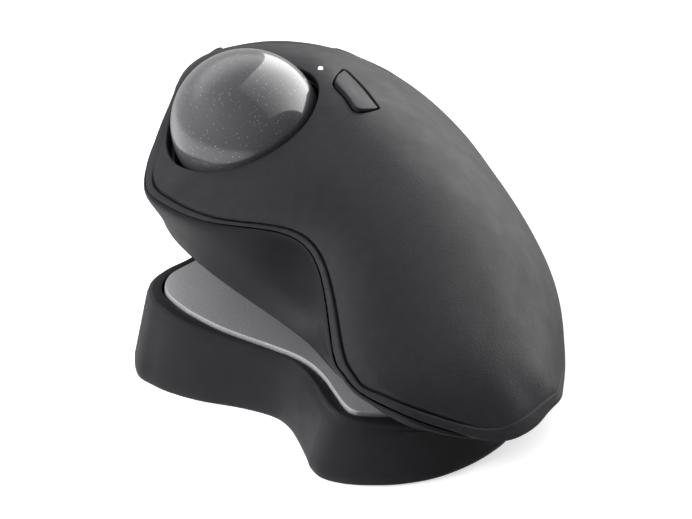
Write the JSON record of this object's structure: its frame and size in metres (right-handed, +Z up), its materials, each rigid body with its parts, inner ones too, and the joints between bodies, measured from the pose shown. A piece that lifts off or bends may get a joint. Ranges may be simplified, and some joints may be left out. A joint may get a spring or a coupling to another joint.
{
  "type": "trackball mouse",
  "caption": "Thumb-operated wireless trackball mouse whose body tilts on a hinged steel plate carried by a wedge-shaped rubber riser.",
  "frame": {"origin": "on the desk plane, below the middle of the hinge ridge about which the body tilts", "axes": "+X to the user's right, +Y forward to the click keys, +Z up"},
  "size_m": [0.0992, 0.1334, 0.0709],
  "materials": {
    "coated_shell": "soft-touch coating, fine texture",
    "casing_plastic": "moulded, satin",
    "riser_rubber": "satin moulded rubber",
    "pad_rubber": "matt",
    "plate_steel": "bead blasted, bright chamfer",
    "pin_steel": "ground",
    "ball_gloss": "polished, dark grey with fine bright flecks",
    "black_nylon": "moulded",
    "bearing_ceramic": "polished",
    "lens_clear": "clear moulded",
    "switch_black": "moulded",
    "board_green": "solder mask",
    "cell_foil": "wrapped cell",
    "magnet_nickel": "nickel plated",
    "light_pipe": "diffusing",
    "slider_white": "moulded",
    "plunger_red": "moulded",
    "tyre_rubber": "ribbed",
    "socket_steel": "plated"
  },
  "bodies": {
    "riser": {"wedge_riser": "riser_rubber"},
    "hinge_plate": {"base_plate": "plate_steel", "plate_rubber_pad": "pad_rubber", "hinge_pin": "pin_steel", "hinge_strap_front": "plate_steel", "hinge_strap_rear": "plate_steel"},
    "mouse_body": {"top_shell": "coated_shell", "lower_shell": "casing_plastic", "bottom_cover": "casing_plastic", "hinge_saddle_front": "black_nylon", "hinge_saddle_rear": "black_nylon", "button_pivot_rod": "pin_steel", "case_screw_1": "pin_steel", "case_screw_2": "pin_steel", "case_screw_3": "pin_steel", "case_screw_4": "pin_steel", "back_switch": "switch_black", "forward_switch": "switch_black", "precision_switch": "switch_black", "channel_switch": "switch_black", "precision_led": "light_pipe", "battery_led": "light_pipe", "ball_socket": "black_nylon", "bearing_ball_1": "bearing_ceramic", "bearing_ball_2": "bearing_ceramic", "bearing_ball_3": "bearing_ceramic", "sensor_lens": "lens_clear", "optical_sensor": "switch_black", "sensor_board": "board_green", "main_board": "board_green", "switch_board": "board_green", "left_switch": "switch_black", "right_switch": "switch_black", "wheel_switch": "switch_black", "charging_socket": "socket_steel", "battery": "cell_foil", "magnet_level": "magnet_nickel", "magnet_tilted": "magnet_nickel", "power_switch": "switch_black"},
    "left_key": {"left_button": "coated_shell"},
    "right_key": {"right_button": "coated_shell"},
    "left_plunger": {"left_switch_plunger": "plunger_red"},
    "right_plunger": {"right_switch_plunger": "plunger_red"},
    "back_key": {"back_button": "coated_shell"},
    "forward_key": {"forward_button": "coated_shell"},
    "precision_key": {"precision_button": "coated_shell"},
    "channel_key": {"channel_button": "coated_shell"},
    "ball": {"trackball": "ball_gloss"},
    "wheel_frame": {"wheel_carrier": "black_nylon", "wheel_tilt_pin": "pin_steel"},
    "wheel_cradle": {"wheel_yoke": "black_nylon", "wheel_encoder": "switch_black"},
    "wheel": {"scroll_wheel_tyre": "tyre_rubber", "scroll_wheel_hub": "casing_plastic", "wheel_axle": "pin_steel"},
    "slider_knob": {"power_slider": "slider_white"}
  },
  "joints": [
    {"name": "plate_lift", "type": "slide", "parent": "riser", "child": "hinge_plate", "axis": [0.1736, 0, 0.9848], "range_m": [0, 0.006]},
    {"name": "body_tilt", "type": "hinge", "parent": "hinge_plate", "child": "mouse_body", "pos_m": [0, 0, 0.014], "axis": [0, 1, 0], "range_deg": [-20, 0]},
    {"name": "ball_spin", "type": "hinge", "parent": "mouse_body", "child": "ball", "pos_m": [-0.01203, 0.006, 0.05397], "axis": [0, 1, 0], "continuous": true},
    {"name": "left_click", "type": "hinge", "parent": "mouse_body", "child": "left_key", "pos_m": [0.0175, 0.032, 0.04431], "axis": [-0.866, 0, 0.5], "range_deg": [0, 1.4], "stiffness_Nm_per_rad": 0.2, "springref_deg": -1.72},
    {"name": "left_plunger_travel", "type": "slide", "parent": "mouse_body", "child": "left_plunger", "axis": [-0.5, 0, -0.866], "range_m": [0, 0.0005]},
    {"name": "right_click", "type": "hinge", "parent": "mouse_body", "child": "right_key", "pos_m": [0.0175, 0.032, 0.04431], "axis": [-0.866, 0, 0.5], "range_deg": [0, 1.4], "stiffness_Nm_per_rad": 0.2, "springref_deg": -1.72},
    {"name": "right_plunger_travel", "type": "slide", "parent": "mouse_body", "child": "right_plunger", "axis": [-0.5, 0, -0.866], "range_m": [0, 0.0005]},
    {"name": "back_press", "type": "slide", "parent": "mouse_body", "child": "back_key", "axis": [0.4445, -0.3212, -0.8362], "range_m": [0, 0.0005], "stiffness_N_per_m": 1200, "springref_m": -0.0006},
    {"name": "forward_press", "type": "slide", "parent": "mouse_body", "child": "forward_key", "axis": [0.3019, -0.5206, -0.7986], "range_m": [0, 0.0005], "stiffness_N_per_m": 1200, "springref_m": -0.0006},
    {"name": "precision_press", "type": "slide", "parent": "mouse_body", "child": "precision_key", "axis": [-0.5, 0, -0.866], "range_m": [0, 0.0005], "stiffness_N_per_m": 1200, "springref_m": -0.0006},
    {"name": "channel_press", "type": "slide", "parent": "mouse_body", "child": "channel_key", "axis": [-0.5, 0, -0.866], "range_m": [0, 0.0005], "stiffness_N_per_m": 1200, "springref_m": -0.0006},
    {"name": "wheel_press", "type": "slide", "parent": "mouse_body", "child": "wheel_frame", "axis": [-0.5, 0, -0.866], "range_m": [0, 0.0005], "stiffness_N_per_m": 1500, "springref_m": -0.0008},
    {"name": "wheel_tilt", "type": "hinge", "parent": "wheel_frame", "child": "wheel_cradle", "pos_m": [0.01629, 0.045, 0.02422], "axis": [0, 1, 0], "range_deg": [-3, 3], "stiffness_Nm_per_rad": 0.3},
    {"name": "wheel_spin", "type": "hinge", "parent": "wheel_cradle", "child": "wheel", "pos_m": [0.02349, 0.045, 0.03669], "axis": [0.866, 0, -0.5], "continuous": true},
    {"name": "power_slide", "type": "slide", "parent": "mouse_body", "child": "slider_knob", "axis": [0, 1, 0], "range_m": [0, 0.0038]}
  ],
  "couplings": [
    {"joint": "left_plunger_travel", "follows": "left_click", "m_per_rad": 0.015},
    {"joint": "right_plunger_travel", "follows": "right_click", "m_per_rad": 0.014}
  ]
}
